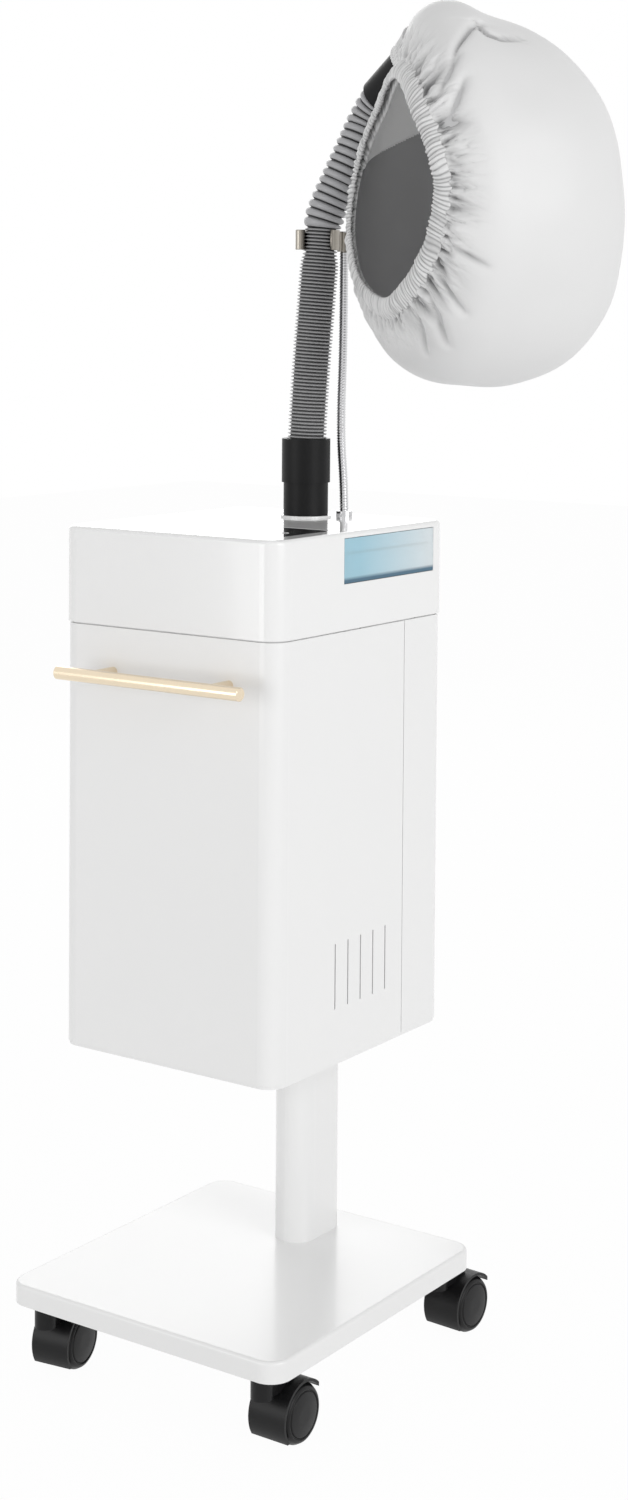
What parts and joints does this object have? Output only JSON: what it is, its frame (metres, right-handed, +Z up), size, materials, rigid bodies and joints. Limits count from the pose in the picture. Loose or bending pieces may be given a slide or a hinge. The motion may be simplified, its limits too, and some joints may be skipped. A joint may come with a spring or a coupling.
{
  "type": "hood hair dryer",
  "caption": "Hood hair dryer on a wheeled base: cabinet with blower, heater and slide-out water tank, a flexible arm and hose, and a fabric bonnet that blows warm moist air.",
  "frame": {"origin": "on the floor under the centre of the base plate", "axes": "+Z up, -Y the front with the handle, +X the side where the water tank slides out"},
  "size_m": [0.4877, 0.3673, 1.2351],
  "materials": {
    "white_steel": "gloss",
    "white_abs": "gloss",
    "panel_glass": "gloss",
    "steel": "brushed",
    "chrome_arm": "polished",
    "clip_steel": "brushed",
    "gold": "satin",
    "black_plastic": "matte",
    "caster_plastic": "satin",
    "tank_blue": "clear",
    "cap_blue": "gloss",
    "white_plastic": "matte",
    "grey_plastic": "matte",
    "hose_grey": "satin",
    "circuit_green": "matte",
    "aluminium": "satin",
    "mica": "matte",
    "silver_fabric": "satin",
    "silicone": "matte"
  },
  "bodies": {
    "chassis": {"base_pan": "white_steel", "base_cover": "steel", "base_ballast": "steel", "caster_stems": "steel", "column": "white_steel", "column_plugs": "aluminium", "column_bolts": "steel", "column_top_plate": "steel", "cabinet_shell": "white_steel", "rear_cover": "white_steel", "cabinet_floor_plate": "white_steel", "cabinet_clips": "steel", "head_cover": "white_abs", "head_lip": "white_plastic", "control_panel": "panel_glass", "control_board": "circuit_green", "handle_bar": "gold", "handle_posts": "gold", "handle_screws": "steel", "tank_tray": "white_plastic", "inner_frame": "steel", "blower_housing": "grey_plastic", "blower_motor": "steel", "heater_duct": "aluminium", "heater_element": "mica", "steam_boiler": "aluminium", "water_pump": "black_plastic", "water_pipes": "silicone", "power_board": "circuit_green", "power_inlet": "black_plastic", "switch_frame": "black_plastic", "outlet_collar": "white_abs", "lower_cuff": "black_plastic", "arm_socket": "chrome_arm", "arm_anchor": "steel"},
    "fan": {"impeller": "black_plastic"},
    "tank": {"water_tank": "tank_blue"},
    "cap": {"tank_cap": "cap_blue"},
    "rocker": {"power_rocker": "black_plastic"},
    "arm": {"gooseneck": "chrome_arm", "hose_clip": "clip_steel", "clip_holder": "clip_steel", "lower_hose": "hose_grey"},
    "swan": {"upper_hose": "hose_grey", "upper_cuff": "black_plastic"},
    "hood": {"bonnet": "silver_fabric", "hem_ring": "silver_fabric", "port_ring": "black_plastic"},
    "fork_front_left": {"caster_fork_front_left": "caster_plastic"},
    "wheel_front_left_inner": {"caster_wheel_front_left_inner": "caster_plastic"},
    "wheel_front_left_outer": {"caster_wheel_front_left_outer": "caster_plastic"},
    "fork_front_right": {"caster_fork_front_right": "caster_plastic"},
    "wheel_front_right_inner": {"caster_wheel_front_right_inner": "caster_plastic"},
    "wheel_front_right_outer": {"caster_wheel_front_right_outer": "caster_plastic"},
    "fork_rear_left": {"caster_fork_rear_left": "caster_plastic"},
    "wheel_rear_left_inner": {"caster_wheel_rear_left_inner": "caster_plastic"},
    "wheel_rear_left_outer": {"caster_wheel_rear_left_outer": "caster_plastic"},
    "fork_rear_right": {"caster_fork_rear_right": "caster_plastic"},
    "wheel_rear_right_inner": {"caster_wheel_rear_right_inner": "caster_plastic"},
    "wheel_rear_right_outer": {"caster_wheel_rear_right_outer": "caster_plastic"}
  },
  "joints": [
    {"name": "fan_spin", "type": "hinge", "parent": "chassis", "child": "fan", "pos_m": [0, 0.05, 0.56], "axis": [1, 0, 0], "continuous": true},
    {"name": "tank_slide", "type": "slide", "parent": "chassis", "child": "tank", "axis": [1, 0, 0], "range_m": [0, 0.09]},
    {"name": "cap_turn", "type": "hinge", "parent": "tank", "child": "cap", "pos_m": [0.0754, 0.049, 0.757], "axis": [0, 0, 1], "range_deg": [0, 90]},
    {"name": "power_switch", "type": "hinge", "parent": "chassis", "child": "rocker", "pos_m": [0.05, 0.1445, 0.345], "axis": [1, 0, 0], "range_deg": [-8, 8]},
    {"name": "arm_lean", "type": "hinge", "parent": "chassis", "child": "arm", "pos_m": [0.024, 0.117, 0.78], "axis": [1, 0, 0], "range_deg": [-8, 12], "deforming": ["lower_hose", "gooseneck"]},
    {"name": "hood_nod", "type": "hinge", "parent": "arm", "child": "swan", "pos_m": [0.0121, 0.0938, 1.046], "axis": [0.5736, -0.8192, 0], "range_deg": [-8, 12], "deforming": ["upper_hose"]},
    {"name": "hood_turn", "type": "hinge", "parent": "swan", "child": "hood", "pos_m": [0.10431, 0.10781, 1.19916], "axis": [-0.791, 0.2035, -0.577], "range_deg": [0, 25]},
    {"name": "swivel_front_left", "type": "hinge", "parent": "chassis", "child": "fork_front_left", "pos_m": [-0.121, -0.14, 0.072], "axis": [0, 0, 1], "continuous": true},
    {"name": "spin_front_left_inner", "type": "hinge", "parent": "fork_front_left", "child": "wheel_front_left_inner", "pos_m": [-0.12601, -0.10435, 0.026], "axis": [0.9903, 0.1392, 0], "continuous": true},
    {"name": "spin_front_left_outer", "type": "hinge", "parent": "fork_front_left", "child": "wheel_front_left_outer", "pos_m": [-0.12601, -0.10435, 0.026], "axis": [0.9903, 0.1392, 0], "continuous": true},
    {"name": "swivel_front_right", "type": "hinge", "parent": "chassis", "child": "fork_front_right", "pos_m": [0.121, -0.14, 0.072], "axis": [0, 0, 1], "continuous": true},
    {"name": "spin_front_right_inner", "type": "hinge", "parent": "fork_front_right", "child": "wheel_front_right_inner", "pos_m": [0.121, -0.104, 0.026], "axis": [1, 0, 0], "continuous": true},
    {"name": "spin_front_right_outer", "type": "hinge", "parent": "fork_front_right", "child": "wheel_front_right_outer", "pos_m": [0.121, -0.104, 0.026], "axis": [1, 0, 0], "continuous": true},
    {"name": "swivel_rear_left", "type": "hinge", "parent": "chassis", "child": "fork_rear_left", "pos_m": [-0.121, 0.14, 0.072], "axis": [0, 0, 1], "continuous": true},
    {"name": "spin_rear_left_inner", "type": "hinge", "parent": "fork_rear_left", "child": "wheel_rear_left_inner", "pos_m": [-0.13032, 0.17477, 0.026], "axis": [0.9659, 0.2588, 0], "continuous": true},
    {"name": "spin_rear_left_outer", "type": "hinge", "parent": "fork_rear_left", "child": "wheel_rear_left_outer", "pos_m": [-0.13032, 0.17477, 0.026], "axis": [0.9659, 0.2588, 0], "continuous": true},
    {"name": "swivel_rear_right", "type": "hinge", "parent": "chassis", "child": "fork_rear_right", "pos_m": [0.121, 0.14, 0.072], "axis": [0, 0, 1], "continuous": true},
    {"name": "spin_rear_right_inner", "type": "hinge", "parent": "fork_rear_right", "child": "wheel_rear_right_inner", "pos_m": [0.12288, 0.17595, 0.026], "axis": [0.9986, -0.0523, 0], "continuous": true},
    {"name": "spin_rear_right_outer", "type": "hinge", "parent": "fork_rear_right", "child": "wheel_rear_right_outer", "pos_m": [0.12288, 0.17595, 0.026], "axis": [0.9986, -0.0523, 0], "continuous": true}
  ]
}
